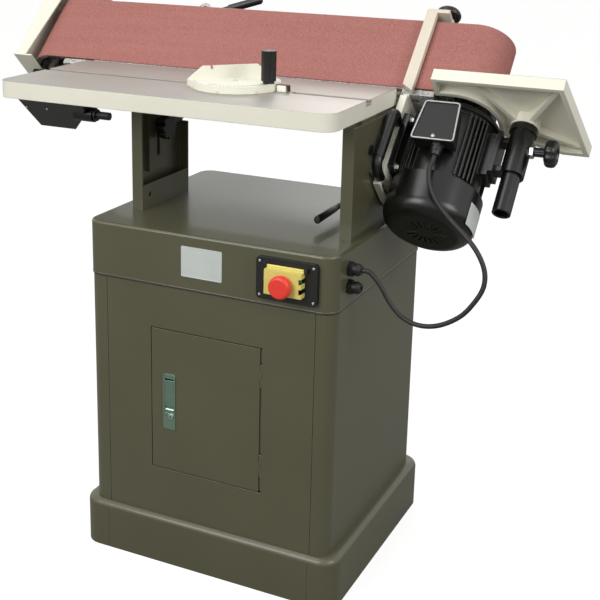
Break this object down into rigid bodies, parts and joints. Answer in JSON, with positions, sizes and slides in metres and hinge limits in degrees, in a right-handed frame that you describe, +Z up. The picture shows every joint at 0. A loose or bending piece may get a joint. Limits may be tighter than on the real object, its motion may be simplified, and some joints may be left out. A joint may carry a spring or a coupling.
{
  "type": "edge sander",
  "caption": "Floor-standing edge sander: tilting motor-driven sanding belt behind a cast table with mitre gauge, on a sheet-steel cabinet with a door.",
  "frame": {"origin": "on the floor under the middle of the plinth", "axes": "+X along the belt towards the motor, +Y from the operator to the belt, +Z up"},
  "size_m": [1.155, 0.5785, 0.9904],
  "materials": {
    "olive_paint": "gloss",
    "cream_paint": "gloss",
    "ground_iron": "satin",
    "cast_iron": "satin",
    "black_paint": "satin",
    "black_plastic": "satin",
    "steel": "satin",
    "zinc": "satin",
    "chrome": "gloss",
    "abrasive": "matte",
    "yellow_plastic": "gloss",
    "red_plastic": "gloss",
    "green_plastic": "gloss",
    "rubber": "matte"
  },
  "bodies": {
    "stand": {"plinth": "olive_paint", "cabinet_shell": "olive_paint", "front_panel": "olive_paint", "door_hinge_pins": "zinc", "top_box": "olive_paint", "switch_housing": "black_plastic", "motor_lead_gland": "black_plastic", "mains_gland": "black_plastic", "left_column": "olive_paint", "right_column": "olive_paint", "left_pivot_bracket": "olive_paint", "right_pivot_bracket": "olive_paint", "tilt_shaft": "steel", "lock_bracket": "olive_paint", "motor_cable": "rubber"},
    "door": {"door": "olive_paint", "latch_housing": "chrome"},
    "latch_paddle": {"latch_paddle": "chrome"},
    "start_button": {"start_button": "green_plastic"},
    "switch_flap": {"switch_flap": "yellow_plastic"},
    "stop_button": {"stop_button": "red_plastic"},
    "tilt_lock": {"tilt_lock_stud": "zinc", "tilt_lock_lever": "black_plastic"},
    "table": {"table_top": "ground_iron", "left_table_leg": "olive_paint", "right_table_leg": "olive_paint"},
    "left_clamp_knob": {"left_clamp_knob": "black_plastic"},
    "right_clamp_knob": {"right_clamp_knob": "black_plastic"},
    "mitre_bar": {"mitre_bar": "steel"},
    "mitre_head": {"mitre_head": "cream_paint"},
    "mitre_handle": {"mitre_handle": "black_plastic"},
    "head": {"head_base": "cast_iron", "platen": "steel", "sanding_belt": "abrasive", "dust_hood": "cream_paint", "rear_guard": "cream_paint", "tracking_box": "black_paint", "motor_plate": "cream_paint", "motor_body": "black_paint", "motor_end_bell": "black_paint", "fan_cover": "black_paint", "terminal_box": "black_paint", "terminal_gland": "black_plastic", "tilt_handle": "black_plastic", "post_bracket": "black_paint"},
    "drive": {"drive_drum": "steel", "motor_shaft": "steel", "cooling_fan": "black_plastic"},
    "idler_carriage": {"idler_carriage": "cast_iron", "idler_shaft": "steel"},
    "idler": {"idler_drum": "steel", "idler_bearings": "zinc"},
    "tension_lever": {"tension_lever": "black_plastic"},
    "tracking_knob": {"tracking_knob": "black_plastic"},
    "stop_arm": {"stop_arm": "cream_paint"},
    "stop_knob": {"stop_knob": "black_plastic"},
    "end_table": {"end_table": "cream_paint", "end_table_post": "black_paint"},
    "post_lock_knob": {"post_lock_knob": "black_plastic"}
  },
  "joints": [
    {"name": "door_swing", "type": "hinge", "parent": "stand", "child": "door", "pos_m": [0.1078, -0.2145, 0.319], "axis": [0, 0, 1], "range_deg": [0, 110]},
    {"name": "latch_pull", "type": "hinge", "parent": "door", "child": "latch_paddle", "pos_m": [-0.0704, -0.2135, 0.3561], "axis": [-1, 0, 0], "range_deg": [0, 45], "stiffness_Nm_per_rad": 0.2},
    {"name": "flap_lift", "type": "hinge", "parent": "stand", "child": "switch_flap", "pos_m": [0.155, -0.2278, 0.605], "axis": [-1, 0, 0], "range_deg": [0, 100]},
    {"name": "stop_press", "type": "slide", "parent": "switch_flap", "child": "stop_button", "axis": [0, 1, 0], "range_m": [0, 0.004], "stiffness_N_per_m": 800},
    {"name": "start_press", "type": "slide", "parent": "stand", "child": "start_button", "axis": [0, 1, 0], "range_m": [0, 0.002], "stiffness_N_per_m": 800},
    {"name": "table_lift", "type": "slide", "parent": "stand", "child": "table", "axis": [0, 0, 1], "range_m": [0, 0.05]},
    {"name": "left_clamp_turn", "type": "hinge", "parent": "stand", "child": "left_clamp_knob", "pos_m": [-0.2, -0.049, 0.772], "axis": [1, 0, 0], "range_deg": [-180, 180]},
    {"name": "right_clamp_turn", "type": "hinge", "parent": "stand", "child": "right_clamp_knob", "pos_m": [0.224, -0.049, 0.772], "axis": [1, 0, 0], "range_deg": [-180, 180]},
    {"name": "gauge_slide", "type": "slide", "parent": "table", "child": "mitre_bar", "axis": [1, 0, 0], "range_m": [-0.3, 0.12]},
    {"name": "gauge_swing", "type": "hinge", "parent": "mitre_bar", "child": "mitre_head", "pos_m": [-0.028, -0.051, 0.857], "axis": [0, 0, 1], "range_deg": [-15, 105]},
    {"name": "gauge_handle_turn", "type": "hinge", "parent": "mitre_bar", "child": "mitre_handle", "pos_m": [0.034, -0.051, 0.87], "axis": [0, 0, 1], "range_deg": [-180, 180]},
    {"name": "tilt_lock_turn", "type": "hinge", "parent": "stand", "child": "tilt_lock", "pos_m": [0.2, 0.114, 0.655], "axis": [1, 0, 0], "range_deg": [-45, 0]},
    {"name": "head_tilt", "type": "hinge", "parent": "stand", "child": "head", "pos_m": [0, 0.114, 0.836], "axis": [1, 0, 0], "range_deg": [-45, 45], "deforming": ["motor_cable"]},
    {"name": "drive_spin", "type": "hinge", "parent": "head", "child": "drive", "pos_m": [0.32, 0.14299, 0.80701], "axis": [0, 0.7071, 0.7071], "continuous": true},
    {"name": "tension_throw", "type": "hinge", "parent": "head", "child": "tension_lever", "pos_m": [-0.24, 0.22855, 0.94772], "axis": [0, -0.7071, 0.7071], "range_deg": [0, 90]},
    {"name": "idler_slide", "type": "slide", "parent": "head", "child": "idler_carriage", "axis": [1, 0, 0], "range_m": [0, 0.01]},
    {"name": "idler_spin", "type": "hinge", "parent": "idler_carriage", "child": "idler", "pos_m": [-0.537, 0.14299, 0.80701], "axis": [0, 0.7071, 0.7071], "continuous": true},
    {"name": "tracking_turn", "type": "hinge", "parent": "head", "child": "tracking_knob", "pos_m": [-0.425, 0.09632, 0.74478], "axis": [1, 0, 0], "range_deg": [-180, 180]},
    {"name": "stop_swing", "type": "hinge", "parent": "head", "child": "stop_arm", "pos_m": [0.256, 0.1833, 0.90812], "axis": [0, 0.7071, 0.7071], "range_deg": [0, 45]},
    {"name": "stop_knob_turn", "type": "hinge", "parent": "head", "child": "stop_knob", "pos_m": [0.256, 0.23986, 0.96469], "axis": [0, 0.7071, 0.7071], "range_deg": [-180, 180]},
    {"name": "end_table_lift", "type": "slide", "parent": "head", "child": "end_table", "axis": [0, 0.7071, 0.7071], "range_m": [0, 0.06]},
    {"name": "post_lock_turn", "type": "hinge", "parent": "head", "child": "post_lock_knob", "pos_m": [0.437, 0.10198, 0.766], "axis": [1, 0, 0], "range_deg": [-180, 180]}
  ],
  "couplings": [
    {"joint": "idler_spin", "follows": "drive_spin", "ratio": 1},
    {"joint": "tension_throw", "follows": "idler_slide", "rad_per_m": 157.08}
  ]
}
